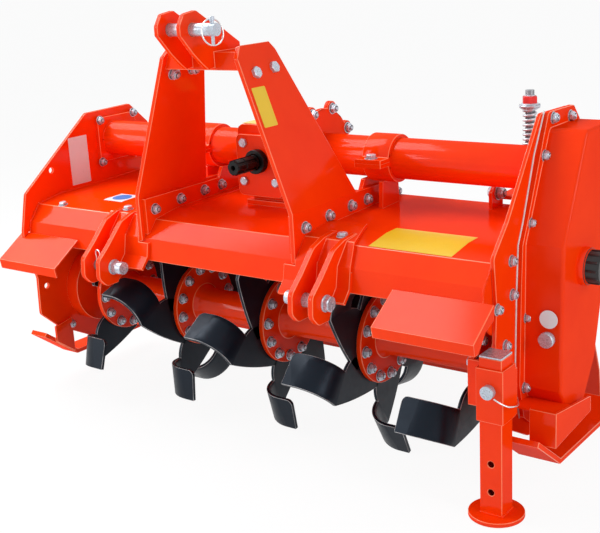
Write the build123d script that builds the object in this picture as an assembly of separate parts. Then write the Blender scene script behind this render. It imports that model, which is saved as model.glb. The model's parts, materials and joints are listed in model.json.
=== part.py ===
"""Tractor rotary tiller (rotavator): hood, drive, tined rotor, three-point headstock, parking stand and tail board.

Modelled with the rotor's axis along X through y = 0, z = 0, the middle rotor flange at x = 0, the tractor towards -Y
and +Z up. Before export the whole machine is moved so that the origin is the centre of its footprint on the floor.
"""
import os
from math import atan2, cos, degrees, hypot, radians, sin, tan

from build123d import *

# ---------------------------------------------------------------- driving dimensions, millimetres and degrees
# rotor
flange_pitch = 260.0
flange_count = 5
flange_radius = 102.5
flange_thick = 12.0
rotor_tube_radius = 38.05
stub_radius = 25.0
running_gap = 0.3
turning_gap = 0.6
blade_thick = 8.0
blade_wing = 141.5  # from the rotor's axis to the wing's outer face
blade_lead = 197.6  # across the wing, to its leading edge
blade_trail = 123.8  # and to its trailing edge
blade_reach = 99.0  # from the shank's outer face to the wing's end
bend_lead = 72.0  # outer radius of the bend at the leading edge
bend_trail = 60.0  # and at the trailing edge
wing_corner = 14.0
collar_radius = 47.0  # weld collars beside the flanges
collar_length = 14.0
blade_first_angle = 149.0  # leading tip of the first flange's left-hand blade, from +Y towards +Z
blade_step = 14.0  # each flange's lead on the one before
blade_hand_lead = 67.0  # a right-hand blade's lead on the left-hand one
blades_per_hand = 3

# hood and side plates
hood_left = -647.5
hood_right = 593.7
hood_sheet = 5.0
plate_thick = 8.0
lip_y = -183.0
lip_foot = (-192.0, 158.0)
deck_rear_y = 212.0
deck_rear_z = 263.0

# cross tube and gearbox
plate_hole = 7.0  # radius of the left side plate's open holes
tube_y = 122.0
tube_z = 366.0
tube_radius = 44.45
tube_wall = 6.0
mast_x = -46.0  # centre plane of the headstock and the power take-off
pto_radius = 17.4
pto_reach = 89.0
seal_length = 17.0
seal_radius = 27.0
gearbox_half = 65.0
gearbox_front = -15.0
gearbox_back = 215.0
gearbox_low = 281.0
gearbox_top = 445.0
gearbox_flange_x = 28.0
gearbox_flange_radius = 100.0
gearbox_flange_thick = 12.0
gearbox_bolt_circle = 102.0
gearbox_lobe_radius = 17.0
gearbox_hub_radius = 72.0  # the housing's neck behind the bolted flange
gearbox_corner = 18.0
cover_thick = 12.0

# headstock
mast_foot_gap = 200.0  # from the centre plane to the foot plate's inner face
mast_plate = 10.0
mast_bend_z = 303.0
mast_top_z = 634.0
mast_top_gap = 97.0  # from the centre plane to the mast plate's outer face at its top
mast_front_y = -190.0
mast_rear_y = 210.0
beam_low = 585.0
beam_top = 622.0
beam_front = -178.0
beam_depth = 88.0
lobe_gap = 25.0
lobe_plate = 10.0
lobe_nose = 37.0
clamp_length = 66.0
clamp_thick = 8.0
lug_reach = 84.0
lug_thick = 9.0
clevis_inner = 263.0
clevis_outer = 324.0
clevis_plate = 12.0
clevis_base_in = 192.0
clevis_base_out = 309.0
clevis_base_thick = 8.0
hitch_y = -236.0
hitch_z = 146.0
hitch_pin_radius = 14.0
hitch_pin_tail = 32.0  # the pin's end beyond the inner clevis plate
toplink_y = -236.0
toplink_z = 671.0
toplink_pin_radius = 12.7
pin_fit = 0.5

# chain case
case_flange = 10.0
case_depth = 76.3  # the shell, beyond the flange
cap_y = 45.0
cap_z = 200.0
cap_radius = 32.0
plug_y = -53.0
plug_z = 78.0
plug_radius = 18.0
guard_overhang = 18.0  # the guard's outer face beyond the chain case
guard_sheet = 6.0
skid_sheet = 11.0

# parking stand
leg_x = 619.0
leg_y = -190.0
leg_side = 45.0
leg_wall = 3.0
leg_top = 84.0
sleeve_wall = 4.0
sleeve_gap = 0.6
sleeve_low = -40.0
sleeve_high = 65.0
foot_radius = 53.5
foot_thick = 9.0
stand_pin_z = 23.3
stand_pin_radius = 6.0
stand_pin_head = 13.0
stand_cap_thick = 4.0
stand_holes = (-14.0, -125.0, -182.6)
bracket_plate = 6.0
lanyard_radius = 1.5

# tail board and its spring rods
hinge_y = 231.0
hinge_z = 232.0
hinge_rod_radius = 6.0
knuckle_radius = 11.0
knuckles = 7
knuckle_gap = 6.0
leaf_sheet = 5.0
board_sheet = 4.0
board_ribs = 3
board_foot_y = 415.0
board_gap = 5.0  # from the board's ends to the side plates' inner faces
lug_arm = 45.0
lug_angle = 20.0  # the arm's droop below level at rest, and its lift at the end of the swing
rod_x = 471.0
rod_top = 500.0
rod_radius = 9.5
rod_pin_radius = 5.0
guide_z = 276.0
guide_thick = 8.0
nut_radius = 16.0
nut_length = 17.0
cup_thick = 7.0
rod_eye = 10.0
ear_plate = 6.0
bracket_gap = 62.0  # between the spring bracket's lugs
bracket_lug = 8.0
spring_radius = 16.0
cup_z = 463.0
cup_radius = 22.0

os.makedirs("parts", exist_ok=True)
parts = {}
hood_middle = (hood_left + hood_right) / 2


# ---------------------------------------------------------------- shared shapes
def rounded(outline, rounds=()):
    """A face from an outline; rounds is (radius, corner indices) pairs."""
    face = make_face(Polyline(*outline, close=True))
    for radius, corners in rounds:
        wanted = [outline[i] for i in corners]
        near = [v for v in face.vertices() if any(hypot(v.X - p[0], v.Y - p[1]) < 0.01 for p in wanted)]
        face = fillet(near, radius)
    return face


def slab(outline, x_from, x_to, rounds=()):
    """A flat plate between two values of x, from its (y, z) outline."""
    start = min(x_from, x_to)
    placed = Plane(origin=(start, 0, 0), x_dir=(0, 1, 0), z_dir=(1, 0, 0)) * rounded(outline, rounds)
    return extrude(placed, amount=abs(x_to - x_from), dir=(1, 0, 0))


def strip(path, thick):
    """The outline of a bent sheet: one side's path, and the other side thick to the left of it."""
    other = []
    for i, (a, b) in enumerate(path):
        normals = []
        for p, q in [path[j:j + 2] for j in (i - 1, i) if 0 <= j < len(path) - 1]:
            length = hypot(q[0] - p[0], q[1] - p[1])
            normals.append((-(q[1] - p[1]) / length, (q[0] - p[0]) / length))
        sx = sum(n[0] for n in normals)
        sy = sum(n[1] for n in normals)
        half = (sx * sx + sy * sy) / 2 if len(normals) == 2 else 1
        other.append((a + sx / half * thick, b + sy / half * thick))
    return list(path) + other[::-1]


def rod(start, end, radius):
    """A round bar between two points."""
    start, end = Vector(*start), Vector(*end)
    axis = end - start
    return extrude(Plane(origin=start, z_dir=axis) * Circle(radius), amount=axis.length)


def along_x(x_from, x_to, y, z, radius):
    """A round bar along X."""
    return rod((min(x_from, x_to), y, z), (max(x_from, x_to), y, z), radius)


def box(x_from, x_to, y_from, y_to, z_from, z_to):
    """A box given by its limits."""
    centre = ((x_from + x_to) / 2, (y_from + y_to) / 2, (z_from + z_to) / 2)
    return Pos(*centre) * Box(x_to - x_from, y_to - y_from, z_to - z_from)


def mirrored(shape, plane_x=mast_x):
    """The same piece on the other side of a plane of constant x."""
    return mirror(shape, Plane(origin=(plane_x, 0, 0), z_dir=(1, 0, 0)))


# ---------------------------------------------------------------- rotor
flange_x = [(i - (flange_count - 1) / 2) * flange_pitch for i in range(flange_count)]
journal = 10.0  # the tube stops this far short of the bearing housings
stub_recess = 4.0
housing_length = 40.0
housing_left = hood_left + housing_length
housing_right = hood_right - housing_length
housing_radius = 95.0


def rotor_shaft():
    shaft = along_x(housing_left + journal, housing_right - journal, 0, 0, rotor_tube_radius)
    shaft += along_x(hood_left + stub_recess, hood_right - stub_recess, 0, 0, stub_radius)
    for x in flange_x:
        shaft += along_x(x - flange_thick / 2, x + flange_thick / 2, 0, 0, flange_radius)
        collar = Cone(collar_radius, rotor_tube_radius - 0.5, collar_length)
        shaft += Pos(x + flange_thick / 2 + collar_length / 2, 0, 0) * Rot(0, 90, 0) * collar
    return shaft


def blade(hand):
    """A blade on the left-hand face of a flange at x = 0: a curved shank and a wing bent right (+1) or left (-1).

    Drawn with its wing square to +Y, so Y runs out to the wing and Z runs along it from the trailing edge. The bend
    is a cone that opens towards the leading edge, and touches the shank's and the wing's flat faces.
    """
    near, far = -flange_thick / 2, -flange_thick / 2 - blade_thick
    outer = far if hand > 0 else near
    root_out, root_in = flange_radius - 4.5, 64.0
    lead = ThreePointArc((-58, root_out), (8, blade_lead - 42), (blade_wing - bend_lead, blade_lead))
    seam = Line(lead @ 1, (blade_wing - bend_trail, blade_trail))
    trail = ThreePointArc(seam @ 1, (78, blade_trail - 23), (44, root_in + 2))
    root = Polyline(trail @ 1, (30, root_in - 10), (-44, root_in), lead @ 0)
    outline = Plane(origin=(far, 0, 0), x_dir=(0, 1, 0), z_dir=(1, 0, 0)) * make_face([lead, seam, trail, root])
    shank = extrude(outline, amount=blade_thick, dir=(1, 0, 0))

    flare = (bend_lead - bend_trail) / (blade_lead - blade_trail)
    apex = Vector(outer, blade_wing, blade_trail - bend_trail / flare)
    axis = Vector(hand * flare, -flare, 1)
    inner_apex = apex + axis * (blade_thick / flare)
    height = 1.3 * (blade_lead - apex.Z)
    cone = Pos(0, 0, height / 2) * Cone(0, height * flare / hypot(1, flare), height)
    bend = Plane(origin=apex, z_dir=axis) * cone - Plane(origin=inner_apex, z_dir=axis) * cone
    across = [(blade_wing + 1, blade_trail), (blade_wing - bend_trail, blade_trail),
              (blade_wing - bend_lead, blade_lead), (blade_wing + 1, blade_lead)]
    bend &= slab(across, outer - blade_reach, outer + blade_reach)
    flat = Plane(origin=(0, blade_wing, 0), x_dir=(1, 0, 0), z_dir=(0, -1, 0))
    side = [(outer - hand, blade_trail), (outer + hand * bend_trail, blade_trail),
            (outer + hand * bend_lead, blade_lead), (outer - hand, blade_lead)]
    bend &= extrude(flat * make_face(Polyline(*side, close=True)), amount=blade_wing, dir=(0, -1, 0))
    wing_end = outer + hand * blade_reach
    plan = [side[1], side[2], (wing_end, blade_lead), (wing_end, blade_trail)]
    wing = extrude(flat * rounded(plan, ((wing_corner, (3,)),)), amount=blade_thick, dir=(0, -1, 0))
    return (shank + bend + wing).solid()


built_at = degrees(atan2(blade_lead, blade_wing))  # angle of the leading tip as the blade is drawn
models = {hand: blade(hand) for hand in (-1, 1)}
parts["rotor_shaft"] = rotor_shaft()
for index, x in enumerate(flange_x):
    first = blade_first_angle + index * blade_step
    row = []
    for hand, angle in ((-1, first), (1, first + blade_hand_lead)):
        if (index == 0 and hand < 0) or (index == flange_count - 1 and hand > 0):
            continue
        for turn in range(blades_per_hand):
            row.append(Pos(x, 0, 0) * Rot(angle - built_at + turn * 360 / blades_per_hand, 0, 0) * models[hand])
    parts[f"blades_{index + 1}"] = Compound([b.solid() for b in row])
floor_z = min(parts[f"blades_{i + 1}"].bounding_box().min.Z for i in range(flange_count))

for label, inner, outer in (("left", housing_left, hood_left), ("right", housing_right, hood_right)):
    housing = along_x(inner, outer, 0, 0, housing_radius)
    parts[f"rotor_bearing_{label}"] = housing - along_x(inner, outer, 0, 0, stub_radius + running_gap)

# ---------------------------------------------------------------- hood, side plates and deflectors
deck = [lip_foot, (lip_y, 206), (-150, 244), (-79, 255), (75, 258), (deck_rear_y, deck_rear_z)]
lip_back = deck_rear_y + 4
rear_lip = [(lip_back, deck_rear_z - 4), (lip_back, 238)]
parts["hood"] = slab(strip((deck + rear_lip)[::-1], hood_sheet), hood_left, hood_right)


def deck_z(y):
    """Height of the deck's upper surface."""
    for (a, low), (b, high) in zip(deck[1:], deck[2:]):
        if a <= y <= b:
            return low + (high - low) * (y - a) / (b - a)
    return deck_rear_z


under_deck = slab(deck + [rear_lip[0], (lip_back, 100), (lip_foot[0], 100)], hood_left - 10, hood_right + 10)

left_outline = [
    (35, 442), (193, 445), (258, 387), (262, 240), (240, 60), (190, -60), (110, -120), (0, -155), (-15, -151),
    (-132, -86), (-186, -36), (-182, 58), (-208, 168), (-208, 186), (-187, 275),
]
deflector_path = [(-191, 180), (-272, 129), (-268, 106)]
slot = slab(strip([(-187, 183.3), (-273, 129.4), (-269, 106)], 5.4), hood_left - 30, hood_left + 10)
left_plate = slab(left_outline, hood_left - plate_thick, hood_left, rounds=((14, (0, 1, 2, 9, 10, 14)), (40, (4, 5))))
for y, z in ((-98, 318), (-157, 32)):
    left_plate -= along_x(hood_left - plate_thick, hood_left, y, z, plate_hole)
parts["side_plate_left"] = left_plate - slot
stand_face = leg_y + leg_side / 2 + sleeve_gap + sleeve_wall + bracket_plate
right_outline = [
    (38, 489), (170, 486), (197, 450), (262, 240), (240, 60), (190, -60), (110, -120), (0, -155), (-15, -151),
    (-100, -104), (stand_face, -50), (stand_face, 60), (-150, 168), (-160, 255), (-100, 312),
]
parts["side_plate_right"] = slab(
    right_outline, hood_right, hood_right + plate_thick, rounds=((14, (0, 1, 2, 8, 9, 13)), (40, (4, 5)))
)
for label, x_from, x_to in (("left", -672, -472), ("right", 404, 617)):
    parts[f"deflector_{label}"] = slab(strip(deflector_path, 4), x_from, x_to)
cheek = [(-191, 180), (-272, 129), (-268, 106), (-252, 106), (-222, 140), (-193, 150), (-189, 176)]
parts["deflector_right"] += slab(cheek, 613, 617)

# ---------------------------------------------------------------- cross tube, gearbox and drive
tube_right_start = gearbox_flange_x + gearbox_flange_thick
for label, x_from, x_to in (
    ("left", hood_left, mast_x - gearbox_half),
    ("right", tube_right_start, hood_right),
):
    tube = along_x(x_from, x_to, tube_y, tube_z, tube_radius)
    if label == "left":
        square = [(64, 310), (200, 310), (200, 425), (64, 425)]
        tube += slab(square, hood_left, hood_left + 10, rounds=((10, (0, 1, 2, 3)),))
    parts[f"cross_tube_{label}"] = tube - along_x(x_from, x_to, tube_y, tube_z, tube_radius - tube_wall)

gearbox = box(
    mast_x - gearbox_half, mast_x + gearbox_half, gearbox_front + cover_thick, gearbox_back, gearbox_low, gearbox_top
)
gearbox = fillet(gearbox.edges().filter_by(Axis.Y), gearbox_corner)
gearbox += along_x(mast_x + gearbox_half - 5, gearbox_flange_x, tube_y, tube_z, gearbox_hub_radius)
disc = along_x(gearbox_flange_x, tube_right_start, tube_y, tube_z, gearbox_flange_radius)
for angle in range(25, 385, 45):
    lobe_y = tube_y + gearbox_bolt_circle * cos(radians(angle))
    lobe_z = tube_z + gearbox_bolt_circle * sin(radians(angle))
    if lobe_z > gearbox_low:
        disc += along_x(gearbox_flange_x, tube_right_start, lobe_y, lobe_z, gearbox_lobe_radius)
gearbox += disc - box(gearbox_flange_x, tube_right_start, 0, 300, 200, deck_rear_z + 2)
gearbox += box(mast_x - 50, mast_x + 50, 20, 200, deck_rear_z + 6, gearbox_low)
parts["gearbox"] = gearbox
pedestal = box(mast_x - 62, mast_x + 62, 10, 205, 250, deck_rear_z + 6) - under_deck
parts["gearbox_plate"] = pedestal
cover_half = gearbox_half - 3
cover = box(
    mast_x - cover_half, mast_x + cover_half, gearbox_front, gearbox_front + cover_thick, gearbox_low + 4, 424
)
parts["gearbox_cover"] = fillet(cover.edges().filter_by(Axis.Y), 14)
seal_end = gearbox_front - seal_length
seal = rod((mast_x, gearbox_front, tube_z), (mast_x, seal_end, tube_z), seal_radius)
parts["pto_seal"] = seal - rod((mast_x, gearbox_front, tube_z), (mast_x, seal_end, tube_z), pto_radius + turning_gap)
pto_end = gearbox_front - pto_reach
parts["pto_shaft"] = rod((mast_x, gearbox_front - turning_gap, tube_z), (mast_x, pto_end, tube_z), pto_radius)

# ---------------------------------------------------------------- headstock
foot_in = mast_x + mast_foot_gap
foot_out = foot_in + mast_plate
mast_out = foot_out + mast_plate
lean = (mast_out - mast_x - mast_top_gap) / (mast_top_z - mast_bend_z)
front_view = strip(
    [(mast_out, 180), (mast_out, mast_bend_z), (mast_x + mast_top_gap, mast_top_z)], mast_plate
)
front_plane = Plane(origin=(0, -400, 0), x_dir=(1, 0, 0), z_dir=(0, -1, 0))
front_solid = extrude(front_plane * make_face(Polyline(*front_view, close=True)), amount=800, dir=(0, 1, 0))
side_view = [
    (mast_front_y, 201), (mast_front_y, 610), (-166, mast_top_z + 4), (-78, mast_top_z + 4), (-62, 618), (42, 302),
    (mast_rear_y, 299), (mast_rear_y, 230), (-140, 201),
]
mast_right = (front_solid & slab(side_view, mast_x, mast_x + 300, rounds=((10, (1, 2, 3, 4)),))) - under_deck
parts["mast_plate_right"] = mast_right.solid()
parts["mast_plate_left"] = mirrored(parts["mast_plate_right"])

clamp_to = mast_out + clamp_length
shell = along_x(mast_out, clamp_to, tube_y, tube_z, tube_radius + clamp_thick)
shell -= along_x(mast_out, clamp_to, tube_y, tube_z, tube_radius)
clamp_halves = {}
for label, low, high in (("tube_clamp", tube_z, tube_z + 100), ("clamp_base", tube_z - 100, tube_z)):
    half = shell & box(mast_out, clamp_to, -200, 400, low, high)
    lug_low = tube_z if label == "tube_clamp" else tube_z - lug_thick
    for side in (-1, 1):
        ends = sorted((tube_y + side * (tube_radius + 2), tube_y + side * lug_reach))
        half += box(mast_out, clamp_to, ends[0], ends[1], lug_low, lug_low + lug_thick)
    clamp_halves[label] = half
web = slab([(84, 230), (90, 318), (154, 318), (160, 230)], mast_out + 28, mast_out + 38)
web -= along_x(mast_out, clamp_to, tube_y, tube_z, tube_radius + 1)
clamp_halves["clamp_base"] += web - under_deck
parts["tube_clamp_right"] = clamp_halves["tube_clamp"]
parts["clamp_base_right"] = clamp_halves["clamp_base"]
foot_outline = [
    (mast_front_y + 10, 215), (mast_front_y + 10, 296), (78, 296), (92, 320), (150, 320), (mast_rear_y, 300),
    (mast_rear_y, 230),
]
foot = slab(foot_outline, foot_in, foot_out) - under_deck
parts["mast_foot_right"] = foot - along_x(foot_in, foot_out, tube_y, tube_z, tube_radius + running_gap)
for name in ("tube_clamp", "clamp_base", "mast_foot"):
    parts[f"{name}_left"] = mirrored(parts[f"{name}_right"])

inner_gap = [mast_top_gap + (mast_top_z - z) * lean - mast_plate * hypot(1, lean) for z in (beam_low, beam_top)]
beam_outline = [
    (mast_x - inner_gap[0], beam_low), (mast_x + inner_gap[0], beam_low),
    (mast_x + inner_gap[1], beam_top), (mast_x - inner_gap[1], beam_top),
]
beam_plane = Plane(origin=(0, beam_front, 0), x_dir=(1, 0, 0), z_dir=(0, -1, 0))
beam = extrude(beam_plane * make_face(Polyline(*beam_outline, close=True)), amount=beam_depth, dir=(0, 1, 0))
lobe_back = beam_front + beam_depth - 3
lobe_outline = [
    (toplink_y - lobe_nose, toplink_z - 9), (toplink_y - lobe_nose, toplink_z + 10),
    (toplink_y - 22, toplink_z + lobe_nose - 5), (toplink_y + 14, toplink_z + lobe_nose),
    (toplink_y + 45, toplink_z + 18), (lobe_back - 48, beam_top + 43), (lobe_back, beam_top + 13),
    (lobe_back, beam_low + 20), (-197, beam_low + 3), (-214, beam_low + 16), (toplink_y - 2, toplink_z - 48),
]
lobe_out = mast_x + lobe_gap + lobe_plate
lobe = slab(lobe_outline, mast_x + lobe_gap, lobe_out, rounds=((12, (0, 1, 2, 3)), (8, (8, 9))))
lobe -= along_x(mast_x + lobe_gap, lobe_out, toplink_y, toplink_z, toplink_pin_radius + pin_fit)
parts["toplink_bracket"] = beam + lobe + mirrored(lobe)
parts["toplink_pin"] = along_x(
    mast_x - lobe_gap - lobe_plate - 14, lobe_out + 63, toplink_y, toplink_z, toplink_pin_radius
)

clevis_outline = [
    (-117, 259), (-160, 255), (-197, 243), (hitch_y - 8, hitch_z + 51), (hitch_y - 42, hitch_z + 22),
    (hitch_y - 45, hitch_z - 18), (hitch_y - 26, hitch_z - 39), (hitch_y + 10, hitch_z - 39),
    (hitch_y + 20, hitch_z - 20), (hitch_y + 20, hitch_z - 5), (-193, 166), (-185, 206), (-150, 240), (-117, 245),
]
base_path = [(-214, 139), (-190.9, 164), (lip_y, 206), (-150, 244), (-79, 255), (-57, 255.43)]
base_high = [
    (mast_out + 0.5, -57), (clevis_base_out - 45, -57), (clevis_base_out, -192), (clevis_base_out, -240),
    (mast_out + 0.5, -240),
]
base_plan = extrude(Pos(0, 0, 199) * make_face(Polyline(*base_high, close=True)), amount=100)
base_plan += box(mast_x + clevis_base_in, clevis_base_out, -240, lip_y, 100, 199)
for side, label in ((1, "right"), (-1, "left")):
    clevis = slab(strip(base_path, clevis_base_thick), mast_x + clevis_base_in, clevis_base_out) & base_plan
    for x in (clevis_inner, clevis_outer - clevis_plate):
        plate = slab(clevis_outline, mast_x + x, mast_x + x + clevis_plate, rounds=((18, (4, 5, 6)), (24, (2,))))
        clevis += plate
    clevis -= under_deck
    pin_start, pin_end = mast_x + clevis_inner - hitch_pin_tail, mast_x + clevis_outer + 2
    clevis -= along_x(pin_start, pin_end, hitch_y, hitch_z, hitch_pin_radius + pin_fit)
    pin = along_x(pin_start, pin_end, hitch_y, hitch_z, hitch_pin_radius)
    parts[f"hitch_clevis_{label}"] = clevis if side > 0 else mirrored(clevis)
    parts[f"hitch_pin_{label}"] = pin if side > 0 else mirrored(pin)

# ---------------------------------------------------------------- chain case, cap, plug, guard and skids
case_in = hood_right + plate_thick
case_out = case_in + case_flange + case_depth
flange_outline = [
    (51, 491), (172, 488), (205, 455), (215, 300), (180, 60), (140, -60), (100, -105), (40, -124), (-20, -121),
    (-55, -94), (-74, -20), (-67, 171), (-61, 257), (-40, 297),
]
case_outline = [
    (56, 459), (186, 459), (197, 440), (197, 300), (114, -8), (80, -56), (56, -90), (-20, -80), (-54, -27), (-48, 257),
]
case = slab(flange_outline, case_in, case_in + case_flange, rounds=((16, (0, 1, 2, 7, 8)),))
shell = slab(case_outline, case_in + case_flange, case_out, rounds=((14, (0, 1)), (16, (6, 7))))
shell = fillet(shell.faces().sort_by(Axis.X)[-1].edges(), 7)
parts["chain_case"] = case + shell
cap_base = along_x(case_out, case_out + 14, cap_y, cap_z, cap_radius + 4)
parts["oil_cap"] = cap_base + along_x(case_out + 14, case_out + 42, cap_y, cap_z, cap_radius)
plug_x = case_out - 28
plug_plane = Plane(origin=(plug_x, plug_y, plug_z), x_dir=(1, 0, 0), z_dir=(0, -1, 0))
parts["level_plug"] = extrude(plug_plane * RegularPolygon(plug_radius, 6), amount=15, dir=(0, -1, 0))

skid_path = [(-163, -95), (-59, -173), (150, -176), (205, -140)]
skid_left_path = [(-184, -98), (-84, -175)] + skid_path[2:]
parts["skid_right"] = slab(strip(skid_path, skid_sheet), case_in + 1, case_out + 2)
skid_left = slab(strip(skid_left_path, skid_sheet), -702, hood_left)
strap = [(-150, -80), (-94, -70), (-94, -164), (-150, -121)]
parts["skid_left"] = skid_left + slab(strap, hood_left, hood_left + guard_sheet)
guard_out = case_out + guard_overhang
guard = box(guard_out - 54, guard_out, -118, -118 + guard_sheet, -112, -42)
guard_side = [(-118, -112), (-118, -42), (50, -68), (50, -100)]
parts["case_guard"] = guard + slab(guard_side, guard_out - guard_sheet, guard_out)

# ---------------------------------------------------------------- parking stand
leg_half = leg_side / 2
sleeve_in = leg_half + sleeve_gap
sleeve_out = sleeve_in + sleeve_wall
leg = box(leg_x - leg_half, leg_x + leg_half, leg_y - leg_half, leg_y + leg_half, floor_z + foot_thick, leg_top)
bore = leg_half - leg_wall
leg -= box(leg_x - bore, leg_x + bore, leg_y - bore, leg_y + bore, floor_z + foot_thick, leg_top)
for z in stand_holes:
    leg -= rod((leg_x, leg_y - 60, z), (leg_x, leg_y + 60, z), stand_pin_radius + 0.5)
parts["stand_leg"] = leg
parts["stand_cap"] = box(
    leg_x - leg_half, leg_x + leg_half, leg_y - leg_half, leg_y + leg_half, leg_top,
    leg_top + stand_cap_thick,
)
parts["stand_foot"] = rod((leg_x, leg_y, floor_z), (leg_x, leg_y, floor_z + foot_thick), foot_radius)
sleeve = box(
    leg_x - sleeve_out, leg_x + sleeve_out, leg_y - sleeve_out, leg_y + sleeve_out, sleeve_low, sleeve_high
) - box(leg_x - sleeve_in, leg_x + sleeve_in, leg_y - sleeve_in, leg_y + sleeve_in, sleeve_low, sleeve_high)
bracket_y = leg_y + sleeve_out
bracket_levels = (sleeve_low + 2, sleeve_high - 10)
sleeve += box(
    hood_right - 47, leg_x + sleeve_out, bracket_y, bracket_y + bracket_plate, *bracket_levels
)
sleeve += box(hood_right - bracket_plate, hood_right, bracket_y + bracket_plate, -100, *bracket_levels)
parts["stand_sleeve"] = sleeve
pin_y = leg_y - sleeve_out
parts["stand_pin"] = rod((leg_x, pin_y, stand_pin_z), (leg_x, pin_y - 12, stand_pin_z), stand_pin_head)
lanyard_path = [(634.5, -230, 16), (654, -226, 3), (663, -198, -5), (648, -150, -20), (604.5, -88, -22)]
lanyard_radii = []
for before, corner, after in zip(lanyard_path, lanyard_path[1:], lanyard_path[2:]):
    first, second = Vector(*corner) - Vector(*before), Vector(*after) - Vector(*corner)
    half_turn = radians(first.get_angle(second)) / 2
    lanyard_radii.append(0.45 * min(first.length, second.length) / tan(half_turn))
wire = FilletPolyline(*lanyard_path, radius=lanyard_radii)
start_plane = Plane(origin=lanyard_path[0], z_dir=Vector(*lanyard_path[1]) - Vector(*lanyard_path[0]))
parts["stand_lanyard"] = sweep(start_plane * RegularPolygon(lanyard_radius, 8), path=wire)

# ---------------------------------------------------------------- tail board
board_left = hood_left + board_gap
board_right = hood_right - board_gap
board_path = [
    (hinge_y + 8.5, hinge_z - 10.5), (hinge_y + 22, hinge_z - 40), (board_foot_y - 15, -160), (board_foot_y - 4, floor_z)
]
board = slab(strip(board_path, board_sheet), board_left, board_right)
rib_outline = strip([(hinge_y + 40, 140), (board_foot_y - 26, -135)], 16 + board_sheet / 2)
for i in range(board_ribs):
    rib_x = board_left + (i + 0.5) * (board_right - board_left) / board_ribs
    board += slab(rib_outline, rib_x - 3, rib_x + 3) - slab(strip(board_path, -60), board_left, board_right)
pitch = (board_right - board_left) / knuckles
bore_radius = hinge_rod_radius + running_gap
board_root = [
    (hinge_y + 3, hinge_z - 8), (hinge_y + 9, hinge_z - 16), (hinge_y + 16, hinge_z - 16), (hinge_y + 9, hinge_z - 4)
]
leaf_top = hinge_z + knuckle_radius - 1.5  # runs into the barrel just below its top
leaf_face = lip_back + leaf_sheet  # reaches just into the barrels
leaf_root = [
    (lip_back, hinge_z - 4), (lip_back, deck_rear_z - 8), (leaf_face, deck_rear_z - 8), (leaf_face, leaf_top),
    (hinge_y, leaf_top), (hinge_y, leaf_top - leaf_sheet), (leaf_face, leaf_top - leaf_sheet),
    (leaf_face, hinge_z - 4),
]
leaves = []
for i in range(knuckles):
    a, b = board_left + i * pitch + knuckle_gap / 2, board_left + (i + 1) * pitch - knuckle_gap / 2
    barrel = along_x(a, b, hinge_y, hinge_z, knuckle_radius)
    if i % 2:
        board += barrel + slab(board_root, a, b) - along_x(a, b, hinge_y, hinge_z, bore_radius)
    else:
        leaves.append(barrel + slab(leaf_root, a, b) - along_x(a, b, hinge_y, hinge_z, hinge_rod_radius))
parts["hinge_rod"] = along_x(board_left, board_right, hinge_y, hinge_z, hinge_rod_radius)
parts["hinge_leaves"] = Compound([leaf.solid() for leaf in leaves])
droop = radians(lug_angle)
rod_y = hinge_y + lug_arm * cos(droop)
eye_z = hinge_z - lug_arm * sin(droop)
lug_outline = [
    (hinge_y + 14, hinge_z - 6), (hinge_y + 40, hinge_z + 4), (hinge_y + 58, hinge_z - 8),
    (hinge_y + 58, hinge_z - 28), (hinge_y + 50, hinge_z - 50), (hinge_y + 30, hinge_z - 58),
]
slot_low = lug_arm * cos(droop) - rod_pin_radius - 1  # the pin's way along the arm as the board swings
slot_high = lug_arm + rod_pin_radius + 1
slot_half = rod_pin_radius + 2 * running_gap
slot_outline = [
    (hinge_y + reach * cos(droop) + side * slot_half * sin(droop),
     hinge_z - reach * sin(droop) + side * slot_half * cos(droop))
    for reach, side in ((slot_low, -1), (slot_high, -1), (slot_high, 1), (slot_low, 1))
]
for middle in (rod_x, 2 * hood_middle - rod_x):
    for x in (middle - rod_eye - 1 - ear_plate, middle + rod_eye + 1):
        ear = slab(lug_outline, x, x + ear_plate, rounds=((12, (1, 2, 3)),))
        board += ear - slab(slot_outline, x, x + ear_plate)
parts["tail_board"] = board

# ---------------------------------------------------------------- spring rods
guide_top = guide_z + guide_thick
bracket_in = rod_x - (bracket_gap - 2) / 2 - bracket_lug - 3
bracket_out = bracket_in + bracket_gap + 2 * bracket_lug
bracket_outline = [(160, 240), (160, 298), (178, 312), (200, 312), (deck_rear_y, 298), (deck_rear_y, 240)]
pin_half = rod_eye + 1 + ear_plate + 5
eye_top = eye_z + rod_eye + 4
spindle = rod((rod_x, rod_y, eye_top), (rod_x, rod_y, rod_top), rod_radius)
spindle += box(rod_x - rod_eye, rod_x + rod_eye, rod_y - rod_eye, rod_y + rod_eye, eye_z - rod_eye, eye_top)
spindle += along_x(rod_x - pin_half, rod_x + pin_half, rod_y, eye_z, rod_pin_radius)
spindle += rod((rod_x, rod_y, cup_z), (rod_x, rod_y, cup_z + cup_thick), cup_radius)
spindle += Pos(rod_x, rod_y, cup_z + cup_thick) * extrude(RegularPolygon(nut_radius, 6), amount=nut_length)
guide = box(bracket_in, bracket_out, 200, rod_y + cup_radius, guide_z, guide_top)
for x in (bracket_in, bracket_out - bracket_lug):
    guide += slab(bracket_outline, x, x + bracket_lug, rounds=((10, (2, 3)),))
guide -= under_deck
guide -= rod((rod_x, rod_y, guide_z), (rod_x, rod_y, guide_top), rod_radius + turning_gap)
spring_plan = RegularPolygon(spring_radius, 16) - RegularPolygon(rod_radius + 1.2, 16)
spring = Pos(rod_x, rod_y, guide_top) * extrude(spring_plan, amount=cup_z - guide_top)
for name, piece in (("spring_rod", spindle), ("spring_bracket", guide), ("spring", spring)):
    parts[f"{name}_right"] = piece
    parts[f"{name}_left"] = mirrored(piece, hood_middle)

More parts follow.
